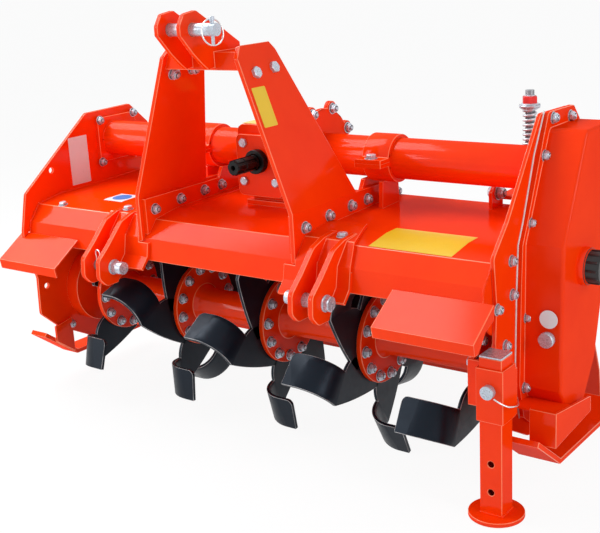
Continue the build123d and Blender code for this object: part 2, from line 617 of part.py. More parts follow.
# ---------------------------------------------------------------- whole machine onto the floor, and export
whole = Compound([s for piece in parts.values() for s in piece.solids()])
limits = whole.bounding_box()
shift = Vector(-limits.center().X, -limits.center().Y, -limits.min.Z)
for name, piece in parts.items():
    moved = [Pos(*shift) * s for s in piece.solids()]
    export_step(moved[0] if len(moved) == 1 else Compound(moved), f"parts/{name}.step")
print("moved by", shift, "size", limits.size, "floor", floor_z, "lanyard radii", lanyard_radii)
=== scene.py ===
"""Looks of the rotary tiller: paint, fasteners, springs, pins, welds and a studio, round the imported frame."""
import json
from math import cos, pi, radians, sin

import bmesh
import bpy
from mathutils import Matrix, Vector


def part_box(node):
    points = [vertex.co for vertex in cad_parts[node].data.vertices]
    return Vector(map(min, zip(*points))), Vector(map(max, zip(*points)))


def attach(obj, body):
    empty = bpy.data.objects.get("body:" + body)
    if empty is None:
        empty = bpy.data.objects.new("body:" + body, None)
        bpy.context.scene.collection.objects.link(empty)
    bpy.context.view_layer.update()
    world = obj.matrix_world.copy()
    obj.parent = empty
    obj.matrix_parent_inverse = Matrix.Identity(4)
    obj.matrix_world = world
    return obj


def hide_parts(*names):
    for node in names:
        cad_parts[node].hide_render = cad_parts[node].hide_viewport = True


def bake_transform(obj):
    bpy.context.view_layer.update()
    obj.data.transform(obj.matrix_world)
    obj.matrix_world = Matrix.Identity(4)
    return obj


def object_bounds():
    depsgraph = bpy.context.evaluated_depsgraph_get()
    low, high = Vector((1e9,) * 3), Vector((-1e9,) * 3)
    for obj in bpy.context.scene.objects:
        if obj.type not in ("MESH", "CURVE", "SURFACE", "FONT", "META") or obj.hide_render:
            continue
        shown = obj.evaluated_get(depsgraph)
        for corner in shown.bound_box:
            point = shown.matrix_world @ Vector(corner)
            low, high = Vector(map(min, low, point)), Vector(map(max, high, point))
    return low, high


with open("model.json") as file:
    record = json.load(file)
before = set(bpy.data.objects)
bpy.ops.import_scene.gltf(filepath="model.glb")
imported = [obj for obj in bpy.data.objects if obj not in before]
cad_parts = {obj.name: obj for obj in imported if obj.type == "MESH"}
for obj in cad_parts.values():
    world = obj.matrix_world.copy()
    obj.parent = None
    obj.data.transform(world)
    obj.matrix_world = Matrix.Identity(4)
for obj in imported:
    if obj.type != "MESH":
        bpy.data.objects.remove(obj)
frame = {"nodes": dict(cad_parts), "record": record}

cad_low, cad_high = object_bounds()
joints = {j["name"]: j for j in frame["record"]["behaviour"]["joints"]}
AXIS = Vector(joints["rotor_spin"]["pos_m"])  # the rotor's axis at its middle flange: the design's own zero
X, Y, Z = Vector((1, 0, 0)), Vector((0, 1, 0)), Vector((0, 0, 1))
MM = 0.001
SAME = Matrix.Identity(4)


# ---------------------------------------- sizes and places, in millimetres from that zero
def at(x, y, z):
    """A point given in millimetres from the rotor's axis at its middle flange."""
    return AXIS + Vector((x, y, z)) * MM


def corners_of(name):
    """The low and high corners of a node's box, in the same millimetres."""
    low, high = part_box(name)
    return (low - AXIS) / MM, (high - AXIS) / MM


LEFT_PLATE_OUT, LEFT_PLATE_IN = [corner.x for corner in corners_of("side_plate_left")]
RIGHT_PLATE_IN, RIGHT_PLATE_OUT = [corner.x for corner in corners_of("side_plate_right")]
CASE_FLANGE_FACE = 612.0  # just outside the chain case's flange
GEARBOX_LEFT, GEARBOX_RIGHT = [corner.x for corner in corners_of("gearbox")]
clamp_low, clamp_high = corners_of("clamp_base_right")
TUBE_Y, TUBE_Z = (clamp_low.y + clamp_high.y) / 2, clamp_high.z  # the cross tubes' axis
TUBE_RADIUS = 44.45
TUBE_FLANGE = 10.0  # thickness of the flange that bolts the left-hand tube to its side plate

mast_corner = corners_of("mast_plate_right")[1]
MAST_OUT, MAST_TOP_Z = mast_corner.x, mast_corner.z
MAST_X = (corners_of("mast_plate_left")[0].x + MAST_OUT) / 2  # the headstock's middle plane
MAST_TOP_X = MAST_X + 97.0  # outer face of the right-hand plate at its top
MAST_BEND_Z = 303.0
MAST_PLATE = 10.0
MAST_LEAN = (MAST_OUT - MAST_TOP_X) / (MAST_TOP_Z - MAST_BEND_Z)
FOOT_IN = corners_of("mast_foot_right")[0].x
CLEVIS_IN, CLEVIS_OUT, CLEVIS_PLATE = 263.0, 324.0, 12.0  # lower hitch plates, out from the middle plane
pin_low, pin_high = corners_of("hitch_pin_right")
PIN_Y, PIN_Z = ((pin_low + pin_high) / 2).yz

FLANGE_PITCH, FLANGE_HALF = 260.0, 6.0  # between the rotor's flanges, and half their thickness
BLADE_BOLT_CIRCLE = 86.5
DECK = ((-183, 206), (-150, 244), (-79, 255), (75, 258), (212, 263))  # (y, z) of the upper face at its bends


def deck_z(y):
    """Height of the deck's upper face."""
    for (a, low), (b, high) in zip(DECK, DECK[1:]):
        if a <= y <= b:
            return low + (high - low) * (y - a) / (b - a)
    return DECK[-1][1]


def deck_normal(y_from, y_to):
    """Direction square to the deck between two places on one of its flats."""
    return Vector((0, -(deck_z(y_to) - deck_z(y_from)) / (y_to - y_from), 1)).normalized()


def mirrored(x):
    """An x on the other side of the headstock's middle plane."""
    return 2 * MAST_X - x


def mast_face(z):
    """x of the right-hand mast plate's outer face above its bend."""
    return MAST_TOP_X + (MAST_TOP_Z - z) * MAST_LEAN


# ---------------------------------------- camera
CAMERA_PLACE = at(1445.6, -1850.1, 798.6)
AZIMUTH, ELEVATION, ROLL = radians(37.2), radians(16.1), radians(-3.3)
back = Vector((sin(AZIMUTH) * cos(ELEVATION), -cos(AZIMUTH) * cos(ELEVATION), sin(ELEVATION)))
level = Vector((cos(AZIMUTH), sin(AZIMUTH), 0))
upright = back.cross(level)
right = level * cos(ROLL) + upright * sin(ROLL)
up = upright * cos(ROLL) - level * sin(ROLL)
lens = bpy.data.cameras.new("camera")
lens.sensor_width = 36
lens.lens = 64.43
lens.clip_start, lens.clip_end = 0.05, 200
bpy.context.scene.view_settings.view_transform = "Standard"
camera = bpy.data.objects.new("camera", lens)
camera.matrix_world = Matrix.Translation(CAMERA_PLACE) @ Matrix((right, up, back)).transposed().to_4x4()
bpy.context.scene.collection.objects.link(camera)
bpy.context.scene.camera = camera


# ---------------------------------------- materials
class Nodes:
    """A short way to wire a material's nodes."""

    def __init__(self, name):
        self.material = bpy.data.materials.new(name)
        self.material.use_nodes = True
        self.tree = self.material.node_tree
        self.shader = self.tree.nodes["Principled BSDF"]
        self.place = self.add("ShaderNodeTexCoord").outputs["Object"]

    def add(self, kind, links=(), settings=()):
        node = self.tree.nodes.new(kind)
        for key, value in dict(settings).items():
            node.inputs[key].default_value = value
        for key, source in dict(links).items():
            self.tree.links.new(source, node.inputs[key])
        return node

    def noise(self, scale, detail, roughness):
        settings = {"Scale": scale, "Detail": detail, "Roughness": roughness}
        return self.add("ShaderNodeTexNoise", {"Vector": self.place}, settings).outputs["Fac"]

    def ramp(self, source, stops):
        node = self.add("ShaderNodeValToRGB", {"Fac": source})
        while len(node.color_ramp.elements) < len(stops):
            node.color_ramp.elements.new(0.5)
        for element, (position, colour) in zip(node.color_ramp.elements, stops):
            element.position = position
            element.color = (*colour, 1)
        return node.outputs["Color"]

    def span(self, source, low, high):
        """A noise, which stays mostly between 0.3 and 0.7, spread from low to high."""
        settings = {"From Min": 0.3, "From Max": 0.7, "To Min": low, "To Max": high}
        return self.add("ShaderNodeMapRange", {"Value": source}, settings).outputs[0]

    def bump(self, source, strength, distance, under=None):
        links = {"Height": source}
        if under is not None:
            links["Normal"] = under
        return self.add("ShaderNodeBump", links, {"Strength": strength, "Distance": distance}).outputs[0]

    def set(self, **values):
        for key, value in values.items():
            self.shader.inputs[key.replace("_", " ")].default_value = value

    def link(self, source, socket):
        self.tree.links.new(source, self.shader.inputs[socket])


def coated(name, dark, light, rough, metal=0.0, coat=0.0, coat_rough=0.08, grain=900, grain_depth=0.00006,
           blotch=7, specular=0.5, tint=(1, 1, 1), coat_ior=1.5):
    """A paint, plating or plastic: two near tones in soft blotches, uneven gloss, and a fine grain.

    The blotches and the grain are given by the scales of their noise, and the grain's depth is in metres.
    """
    n = Nodes(name)
    tone = n.noise(blotch, 4, 0.6)
    n.link(n.ramp(tone, ((0.3, dark), (0.7, light))), "Base Color")
    n.link(n.span(n.noise(blotch * 6, 5, 0.65), rough * 0.8, rough * 1.25), "Roughness")
    fine = n.bump(n.noise(grain, 2, 0.5), 0.35, grain_depth)
    n.link(n.bump(n.noise(blotch * 3, 2, 0.5), 0.25, 0.0004, fine), "Normal")
    n.set(Metallic=metal, Coat_Weight=coat, Coat_Roughness=coat_rough, Specular_IOR_Level=specular,
          Specular_Tint=(*tint, 1), Coat_IOR=coat_ior)
    return n.material


RED = coated("gloss_red_paint", (0.91, 0.037, 0.0011), (0.96, 0.047, 0.0015), 0.33, coat=0.095,
             coat_rough=0.13, grain=420, grain_depth=0.00004, specular=0.0, coat_ior=2.4)
CAST = coated("cast_red_paint", (0.87, 0.034, 0.0011), (0.93, 0.044, 0.0015), 0.42, coat=0.07,
              coat_rough=0.22, grain=260, grain_depth=0.0004, specular=0.0, coat_ior=2.4)
# painted highlight: a lighter orange for the rounded edges of red parts, standing in for the light those edges
# catch
RED_EDGE_HIGHLIGHT = coated("painted_red_edge_highlight", (1.0, 0.16, 0.06), (1.0, 0.24, 0.10), 0.3, coat=0.2, specular=0.4)
BLADE = coated("blue_black_satin", (0.004, 0.0055, 0.009), (0.006, 0.0085, 0.014), 0.36, coat=0.02,
               coat_rough=0.25, grain=500, grain_depth=0.00005, specular=0.22, tint=(0.62, 0.78, 1))
# painted highlight: pale grey for the rounded edges of the blades, standing in for the light those edges catch
BLADE_EDGE_HIGHLIGHT = coated("painted_blade_edge_highlight", (0.10, 0.10, 0.105), (0.48, 0.48, 0.49), 0.4, metal=0.2, blotch=25)
ZINC = coated("zinc_plate", (0.48, 0.53, 0.60), (0.60, 0.66, 0.74), 0.27, metal=0.5, grain=1500,
              grain_depth=0.000002, blotch=22)
SPRING = coated("spring_zinc", (0.52, 0.56, 0.60), (0.68, 0.72, 0.76), 0.32, metal=0.45, grain=1800,
                grain_depth=0.00004, blotch=90)
# painted shade: the rod is darkened to stand in for the shade of the coil wound round it
ROD = coated("rod_with_painted_coil_shade", (0.16, 0.165, 0.18), (0.24, 0.25, 0.27), 0.35, metal=0.4)
SHAFT = coated("black_oxide", (0.003, 0.003, 0.0035), (0.007, 0.007, 0.0075), 0.3, specular=0.22, blotch=40)
CAP = coated("black_plastic", (0.007, 0.007, 0.008), (0.012, 0.012, 0.013), 0.36, grain=1200,
             grain_depth=0.00008, blotch=30)
LOCK = coated("red_nut_dye", (0.60, 0.012, 0.010), (0.78, 0.02, 0.016), 0.35, metal=0.35, blotch=50)
YELLOW = coated("yellow_film", (0.80, 0.54, 0.004), (0.84, 0.59, 0.008), 0.34, coat=0.15, grain=1800,
                grain_depth=0.00001)
WHITE = coated("white_film", (0.74, 0.74, 0.78), (0.80, 0.81, 0.84), 0.34, coat=0.15, grain=1800,
               grain_depth=0.00001)
PLATE = coated("bare_plate", (0.74, 0.88, 0.90), (0.78, 0.92, 0.94), 0.34, coat=0.1, grain=1800,
               grain_depth=0.00001)
BLUE = coated("blue_print", (0.008, 0.19, 0.58), (0.012, 0.24, 0.68), 0.35, grain=1800, grain_depth=0.00001)
WIRE = coated("bright_wire", (0.6, 0.6, 0.61), (0.84, 0.84, 0.83), 0.26, metal=0.85, grain=2500,
              grain_depth=0.00002, blotch=120)
# painted shade: a near-black for the rings at the feet of heads and round studs, standing in for contact shadow
CONTACT_SHADE_PAINT = coated("painted_contact_shade", (0.05, 0.045, 0.05), (0.10, 0.09, 0.095), 0.5, metal=0.3)
SEALANT = coated("pale_gasket", (0.60, 0.56, 0.55), (0.76, 0.72, 0.70), 0.45, grain=700, grain_depth=0.0001,
                 blotch=80)


# ---------------------------------------- the frame's own nodes: finish and soft edges
finishes = {"red_paint": RED, "blade_black": BLADE, "zinc": ZINC, "shaft_black": SHAFT, "cap_black": CAP}
slot_of = {s["node"]: s["material_slot"] for s in frame["record"]["subparts"]}
CAST_NODES = ("gearbox", "gearbox_cover", "rotor_bearing_left", "rotor_bearing_right", "chain_case")
# nodes that pieces replace, and the hinge, whose small edges stay sharp
LEFT_SHARP = ("stand_lanyard", "spring_right", "spring_left", "pto_shaft", "level_plug", "hinge_rod",
              "hinge_leaves")
SLIVERED = ("stand_leg", "side_plate_left", "side_plate_right")  # flat faces that come in thin slivers


def finish_of(name):
    """The material of one of the frame's nodes."""
    # the spring rods take the darkened rod material, painted shade from their coils
    if name.startswith("spring_rod"):
        return ROD
    return CAST if name in CAST_NODES else finishes[slot_of[name]]


def soften(name, node):
    """Rounds a node's sharp edges narrowly; on blades and red paint the rounding gets a lighter colour, a
    painted edge highlight.
    """
    blade, painted = name.startswith("blades"), slot_of[name] == "red_paint"
    joined = node.modifiers.new("joined_corners", "WELD")
    joined.merge_threshold = 0.01 * MM
    if name in SLIVERED:
        plain = node.modifiers.new("plain_faces", "DECIMATE")
        plain.decimate_type = "DISSOLVE"
        plain.angle_limit = radians(0.4)
    bevel = node.modifiers.new("soft_edges", "BEVEL")
    bevel.width = (1.0 if blade else 1.3) * MM
    bevel.segments = 2
    bevel.limit_method = "ANGLE"
    bevel.angle_limit = radians(35)
    bevel.use_clamp_overlap = not (blade or painted)
    bevel.harden_normals = True
    # the rounded edges take the lighter second material: a painted edge highlight
    if blade or painted:
        node.data.materials.append(BLADE_EDGE_HIGHLIGHT if blade else RED_EDGE_HIGHLIGHT)
        bevel.material = 1


for name, node in frame["nodes"].items():
    node.data.materials.clear()
    node.data.materials.append(finish_of(name))
    if name not in LEFT_SHARP:
        soften(name, node)


# ---------------------------------------- mesh helpers
def placed(name, data):
    """A new object in the scene."""
    thing = bpy.data.objects.new(name, data)
    bpy.context.scene.collection.objects.link(thing)
    return thing


def new_piece(name, bm, body, material, sharp=32):
    """A bmesh as an object that rides on a body, smooth except at its sharp edges."""
    bmesh.ops.recalc_face_normals(bm, faces=bm.faces)
    for face in bm.faces:
        face.smooth = True
    for edge in bm.edges:
        edge.smooth = len(edge.link_faces) == 2 and edge.calc_face_angle(0) < radians(sharp)
    mesh = bpy.data.meshes.new(name)
    bm.to_mesh(mesh)
    bm.free()
    for m in material if isinstance(material, (list, tuple)) else [material]:
        mesh.materials.append(m)
    piece = placed(name, mesh)
    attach(piece, body)
    return piece


def ring_points(count, radius, height):
    """Points on a circle about the local z axis, in metres."""
    return [Vector((radius * cos(2 * pi * i / count), radius * sin(2 * pi * i / count), height))
            for i in range(count)]


def loft(bm, rings, place=SAME, close_start=True, close_end=True, mat=0):
    """Skins rings of points, all of one count, placed by a matrix."""
    rows = [[bm.verts.new(place @ p) for p in ring] for ring in rings]
    count = len(rings[0])
    for a, b in zip(rows, rows[1:]):
        for i in range(count):
            face = bm.faces.new((a[i], a[(i + 1) % count], b[(i + 1) % count], b[i]))
            face.material_index = mat
    if close_start:
        bm.faces.new(rows[0][::-1]).material_index = mat
    if close_end:
        bm.faces.new(rows[-1]).material_index = mat


def facing(origin, normal, spin=0.0):
    """A matrix whose z points along normal."""
    rotation = Vector(normal).to_track_quat("Z", "Y").to_matrix().to_4x4()
    return Matrix.Translation(origin) @ rotation @ Matrix.Rotation(spin, 4, "Z")


def turned(bm, place, profile, count=32, mat=0):
    """A closed body of revolution about the local z axis from (radius, height) pairs in millimetres."""
    loft(bm, [ring_points(count, r * MM, h * MM) for r, h in profile], place, mat=mat)


def hexagon(bm, place, flats, low, high, chamfer):
    """A hexagonal head with chamfered corners, as a 24-sided loft."""
    corner = flats / 2 / cos(pi / 6)

    def hex_ring(height, limit):
        points = []
        for i in range(24):
            angle = 2 * pi * i / 24
            from_flat = (angle + pi / 6) % (pi / 3) - pi / 6
            radius = min(flats / 2 / cos(from_flat), limit)
            points.append(Vector((radius * cos(angle) * MM, radius * sin(angle) * MM, height * MM)))
        return points

    loft(bm, [hex_ring(low, corner), hex_ring(high - chamfer, corner),
              hex_ring(high - chamfer / 2, corner * 0.955), hex_ring(high, flats / 2 * 0.94)], place)


def bolt(bm, origin, normal, size, nut, washer):
    """A hexagon head, or a nut with its stud's end, with or without a washer; size is the thread's diameter.

    The heads are turned by angles that come from their places. The second material is painted shade: a dark
    ring round the head's foot on the washer and a dark ring round the stud, standing in for contact shadow.
    """
    sink = 0.4 * MM
    spin = (origin.x * 37.1 + origin.y * 53.7 + origin.z * 91.3) % (pi / 3)
    place = facing(origin - Vector(normal).normalized() * sink, normal, spin)
    base = 0.0
    if washer:
        base = size * 0.2
        turned(bm, place, ((size * 1.12, 0), (size * 1.18, 0.3), (size * 1.18, base - 0.3),
                           (size * 1.12, base)), 28)
        # painted shade: a dark ring on the washer just outside the head's corners
        turned(bm, place, ((size * 1.04, base - 0.1), (size * 1.04, base + 0.3)), 28, 1)
    top = base + size * (0.72 if nut else 0.62)
    hexagon(bm, place, size * 1.68, base, top, size * 0.12)
    if nut:
        turned(bm, place, ((size * 0.72, top - 0.4), (size * 0.72, top + size * 0.16),
                           (size * 0.64, top + size * 0.26), (size * 0.5, top + size * 0.26),
                           (size * 0.48, top + size * 0.1)), 24)
        # painted shade: a dark ring round the stud on the nut's collar
        turned(bm, place, ((size * 0.56, top), (size * 0.56, top + size * 0.29)), 24, 1)
        turned(bm, place, ((size * 0.38, top - 0.4), (size * 0.38, top + size * 0.34),
                           (size * 0.32, top + size * 0.4)), 20)
    else:
        turned(bm, place, ((size * 0.70, top - 0.2), (size * 0.68, top + 0.25), (size * 0.5, top + 0.05)), 24)


def fasteners(name, body, spots, size, nut=False, washer=True):
    """Many bolts as one piece; spots are (point, normal) pairs."""
    bm = bmesh.new()
    for point, normal in spots:
        bolt(bm, point, normal, size, nut, washer)
    new_piece(name, bm, body, [ZINC, CONTACT_SHADE_PAINT])


def on_side(x, spots, normal=X):
    """Spots for fasteners on a face that looks sideways: its x, and the bolts' (y, z)."""
    return [(at(x, y, z), normal) for y, z in spots]


def bead(bm, path, radius, step, closed=False):
    """A weld bead: a rippled tube along a path of points."""
    runs, spots = list(zip(path, path[1:])), []
    if closed:
        runs.append((path[-1], path[0]))
    for a, b in runs:
        count = max(1, round((b - a).length / (step * MM)))
        spots += [a.lerp(b, i / count) for i in range(count)]
    if not closed:
        spots.append(path[-1])
    rings = []
    for i, p in enumerate(spots):
        ahead = spots[(i + 1) % len(spots)] if closed or i + 1 < len(spots) else p
        behind = spots[i - 1] if closed or i else p
        section = facing(p, (ahead - behind).normalized())
        width = radius * (1.0 if i % 2 else 0.86) * (0.55 if not closed and i in (0, len(spots) - 1) else 1)
        rings.append([section @ q for q in ring_points(8, width * MM, 0)])
    if closed:
        rings.append(rings[0])
    loft(bm, rings, SAME, not closed, not closed)
    bmesh.ops.remove_doubles(bm, verts=bm.verts, dist=1e-6)


def arc_points(centre, radius, normal, sweep, count):
    """Points on an arc square to normal, through sweep degrees."""
    normal = Vector(normal).normalized()
    first = normal.orthogonal().normalized()
    second = normal.cross(first)
    return [centre + (first * cos(radians(sweep * i / count))
                      + second * sin(radians(sweep * i / count))) * radius * MM
            for i in range(count + 1)]


def wire_curve(name, points, radius, resolution=8, closed=False, smooth=True):
    """A round wire through points, as a curve."""
    curve = bpy.data.curves.new(name, "CURVE")
    curve.dimensions = "3D"
    curve.bevel_depth = radius * MM
    curve.bevel_resolution = 3
    curve.resolution_u = resolution
    curve.use_fill_caps = True
    spline = curve.splines.new("NURBS" if smooth else "POLY")
    spline.points.add(len(points) - 1)
    for p, q in zip(spline.points, points):
        p.co = (*q, 1)
    if smooth:
        spline.order_u = 3
        spline.use_endpoint_u = not closed
    spline.use_cyclic_u = closed
    return curve


def wire_piece(name, points, radius, body, material, closed=False, smooth=True):
    """A round wire through points, as a mesh."""
    holder = placed(name + "_path", wire_curve(name + "_path", points, radius, closed=closed, smooth=smooth))
    bpy.context.view_layer.update()
    mesh = bpy.data.meshes.new_from_object(holder.evaluated_get(bpy.context.evaluated_depsgraph_get()))
    bpy.data.objects.remove(holder)
    for polygon in mesh.polygons:
        polygon.use_smooth = True
    mesh.materials.clear()
    mesh.materials.append(material)
    piece = placed(name, mesh)
    if body:
        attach(piece, body)
    return piece


# ---------------------------------------- the stand's lanyard
route = [(634.5, -230, 16), (654, -226, 3), (663, -198, -5), (648, -150, -20), (604.5, -88, -22)]
lanyard_wire = wire_curve("lanyard_wire", [at(*p) for p in route], 1.5, resolution=24)
lanyard_wire.materials.append(WIRE)
lanyard = placed("lanyard_wire", lanyard_wire)
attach(lanyard, "frame")
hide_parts("stand_lanyard")

# ---------------------------------------- rotor: the blades' bolts round the flanges
flange_turn = (0, 8, 21.5, 35.4, 49)  # degrees of each flange's bolts ahead of the first flange's
heads, nuts = [], []
for i, turn in enumerate(flange_turn):
    x = (i - 2) * FLANGE_PITCH
    for k in range(12):
        angle = radians(turn + 30 * k)
        y, z = BLADE_BOLT_CIRCLE * cos(angle), BLADE_BOLT_CIRCLE * sin(angle)
        nuts.append((at(x + FLANGE_HALF, y, z), X))
        heads.append((at(x - FLANGE_HALF, y, z), -X))
fasteners("flange_nuts", "rotor", nuts, 11, nut=True)
fasteners("flange_bolt_heads", "rotor", heads, 11, washer=False)

# ---------------------------------------- chain case and side plates: bolts, each (y, z)
case_bolts = ((70, 477), (152, 469), (31, 411), (-26, 292), (-46, 111), (-54, -30))
plate_bolts = ((-90, 234), (-86, 167), (-149, 156), (-116, 75))
tube_bolts = ((72, 418), (193, 422), (67, 310), (190, 315))
fasteners("chain_case_bolts", "frame", on_side(CASE_FLANGE_FACE, case_bolts), 10, nut=True)
fasteners("side_plate_bolts", "frame", on_side(RIGHT_PLATE_OUT, plate_bolts), 10, nut=True)
fasteners("tube_flange_bolts", "frame", on_side(LEFT_PLATE_IN + TUBE_FLANGE, tube_bolts), 10, nut=True)
fasteners("left_plate_bolts", "frame", on_side(LEFT_PLATE_OUT, tube_bolts, -X), 10)
fasteners("left_plate_low_nut", "frame", on_side(LEFT_PLATE_IN, ((-93, -90),)), 10, nut=True)

# ---------------------------------------- headstock, tube clamps and hitch plates: bolts
foot_bolts = ((-151, 268), (-65, 274), (19, 277), (82, 278), (204, 272))
fasteners("mast_foot_nuts_left", "frame", on_side(mirrored(FOOT_IN), foot_bolts), 11, nut=True)
fasteners("mast_foot_heads_left", "frame", on_side(mirrored(MAST_OUT), foot_bolts, -X), 11)
fasteners("mast_foot_nuts_right", "frame", on_side(MAST_OUT, foot_bolts), 11, nut=True)
top_bolts = []
for side in (1, -1):
    out = Vector((side, 0, MAST_LEAN)).normalized()
    for y, z in ((-150, 578), (-89, 582)):
        face_x = mast_face(z) if side > 0 else mirrored(mast_face(z))
        top_bolts.append((at(face_x, y, z), out))
fasteners("mast_top_bolts", "frame", top_bolts, 13, washer=False)
fasteners("mast_top_nuts", "frame", [(p - out * MAST_PLATE * MM, -out) for p, out in top_bolts], 13, nut=True)

clamp_spots = [(at(x, y, 375), Z) for y in (54, 190) for x in (207, mirrored(207))]
fasteners("clamp_bolts", "frame", clamp_spots, 12)
base_spots = [(at(x, -136, deck_z(-136) + 8), Z) for x in (256, mirrored(256))]
fasteners("clevis_base_bolts", "frame", base_spots, 11)
fasteners("deck_corner_bolt", "frame", [(at(-569, -140, deck_z(-140)), deck_normal(-145, -100))], 10)

# ---------------------------------------- weld beads, painted over
bm = bmesh.new()
tube_ends = (LEFT_PLATE_IN + TUBE_FLANGE + 1, GEARBOX_LEFT - 1.5, GEARBOX_RIGHT + 1.5, RIGHT_PLATE_IN - 1.5)
for x in tube_ends:
    bead(bm, arc_points(at(x, TUBE_Y, TUBE_Z), TUBE_RADIUS + 0.75, X, 352.5, 47), 2.2, 3.2, closed=True)
end_seam = ((-188, 190), (-182.5, 207), (-150, 245), (-79, 256), (75, 259), (205, 263.8))
for x in (LEFT_PLATE_IN + 1.3, RIGHT_PLATE_IN - 1.3):
    bead(bm, [at(x, y, z) for y, z in end_seam], 2.4, 3.2)
plate_seam = ((-118, 257.5), (-150, 252.6), (-188.5, 210.5))
for out in (CLEVIS_IN - 0.5, CLEVIS_IN + CLEVIS_PLATE + 0.5):
    for x in (MAST_X + out, MAST_X - out):
        bead(bm, [at(x, y, z) for y, z in plate_seam], 2.6, 3.0)
for x in (MAST_X + 174.6, MAST_X - 174.6):  # along the deck, a little inside the headstock's feet
    bead(bm, [at(x, y, deck_z(y) + 0.6) for y in (-58, 75, 206)], 2.2, 3.2)
new_piece("frame_welds", bm, "frame", RED, 50)

bm = bmesh.new()
foot_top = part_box("stand_foot")[1].z
leg_low, leg_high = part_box("stand_leg")
leg_corners = ((leg_low.x, leg_low.y), (leg_high.x, leg_low.y), (leg_high.x, leg_high.y),
               (leg_low.x, leg_high.y))
bead(bm, [Vector((x, y, foot_top + 1.2 * MM)) for x, y in leg_corners], 2.8, 3.0, closed=True)
new_piece("foot_weld", bm, "stand", RED, 50)


# ---------------------------------------- thin closing plates beside the chain case
def sheet_piece(name, outline, x_from, x_to):
    """A sheet square to x, from its outline of (y, z) points."""
    bm = bmesh.new()
    loft(bm, [[at(x, y, z) for y, z in outline] for x in (x_from, x_to)])
    new_piece(name, bm, "frame", RED)


# the hood's end, which closes the corner behind the deflector, and the web behind the chain case's guard
sheet_piece("hood_end_plate", ((-151, 243), (-183, 205), (-187.5, 183), (-186, 150), (-168, 118), (-152, 105),
                               (-146, 168)), 587.8, 593.4)
sheet_piece("guard_web", ((-112, -46), (-34, -56), (-34, -59), (-112, -49)), 612, 700)

# ---------------------------------------- gearbox
cover_spots = [(at(x, -15, z), -Y) for x, z in ((-86, 405), (-89, 318), (0, 320), (0, 405))]
fasteners("gearbox_cover_bolts", "frame", cover_spots, 11, washer=False)
disc_bolts = []
for i in range(8):
    angle = radians(25 + 45 * i)
    y, z = TUBE_Y + 102 * cos(angle), TUBE_Z + 102 * sin(angle)
    if z > 275:  # the two lowest would touch the deck
        disc_bolts.append((y, z))
fasteners("gearbox_disc_bolts", "frame", on_side(GEARBOX_RIGHT, disc_bolts), 11, nut=True)

# ---------------------------------------- power take-off: splines, groove and centre hole
PTO_CREST, PTO_ROOT, PTO_GROOVE, PTO_PLAIN = 17.3, 14.4, 15.4, 16.0
# degrees from a tooth's middle, and whether the point lies on the tooth
TOOTH_ANGLES = ((-17, 1), (-8, 1), (0, 1), (8, 1), (17, 1), (19, 0), (24, 0), (30, 0), (36, 0), (41, 0))


def pto_ring(height, crest, root):
    """One ring of the shaft: each of the six teeth's arcs, then the root beside it."""
    points = []
    for tooth in range(6):
        for degree, on_crest in TOOTH_ANGLES:
            angle = radians(60 * tooth + degree)
            radius = crest if on_crest else root
            points.append(Vector((radius * cos(angle) * MM, radius * sin(angle) * MM, height * MM)))
    return points


pto_low, pto_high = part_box("pto_shaft")
pto_end = (pto_high.y - pto_low.y) / MM
pto_place = facing(Vector(((pto_low.x + pto_high.x) / 2, pto_high.y, (pto_low.z + pto_high.z) / 2)), -Y)
pto_rings = (  # height, radius on the teeth, radius between them
    (0, PTO_PLAIN, PTO_PLAIN), (18, PTO_PLAIN, PTO_PLAIN), (20, 14.6, 14.6),
    (20.2, 16.2, PTO_ROOT), (21.5, PTO_CREST, PTO_ROOT),
    (pto_end - 30, PTO_CREST, PTO_ROOT), (pto_end - 29, PTO_GROOVE, PTO_ROOT),
    (pto_end - 24, PTO_GROOVE, PTO_ROOT), (pto_end - 23, PTO_CREST, PTO_ROOT),
    (pto_end - 3, PTO_CREST, PTO_ROOT), (pto_end, 14.8, PTO_ROOT),
    (pto_end, 6, 6), (pto_end - 3, 4.4, 4.4), (pto_end - 12, 4.2, 4.2))
bm = bmesh.new()
loft(bm, [pto_ring(*ring) for ring in pto_rings], pto_place)
pto = new_piece("pto_splines", bm, "pto", SHAFT, 24)
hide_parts("pto_shaft")

# ---------------------------------------- tail board springs
COIL_TURNS, COIL_STEPS = 19, 18  # turns, and points to a turn
COIL_WIRE, COIL_GAP = 2.8, 0.1  # the wire's radius, and how far it stays inside the spring's solid
BRACKET_LUG = 8.0


def coil_points(low, high):
    """A spring's helix inside a box, with its end turns closed up."""
    centre = (low + high) / 2
    radius = (high.x - low.x) / 2 - (COIL_WIRE + COIL_GAP) * MM
    inset = 2.6 * MM
    points = []
    for i in range(COIL_TURNS * COIL_STEPS + 1):
        share = i / (COIL_TURNS * COIL_STEPS)
        ease = min(1, max(0, (share - 1 / COIL_TURNS) / (1 - 2 / COIL_TURNS)))
        z = low.z + inset + (high.z - low.z - 2 * inset) * (ease * 0.96 + share * 0.04)
        angle = 2 * pi * i / COIL_STEPS
        points.append(Vector((centre.x + radius * cos(angle), centre.y + radius * sin(angle), z)))
    return points


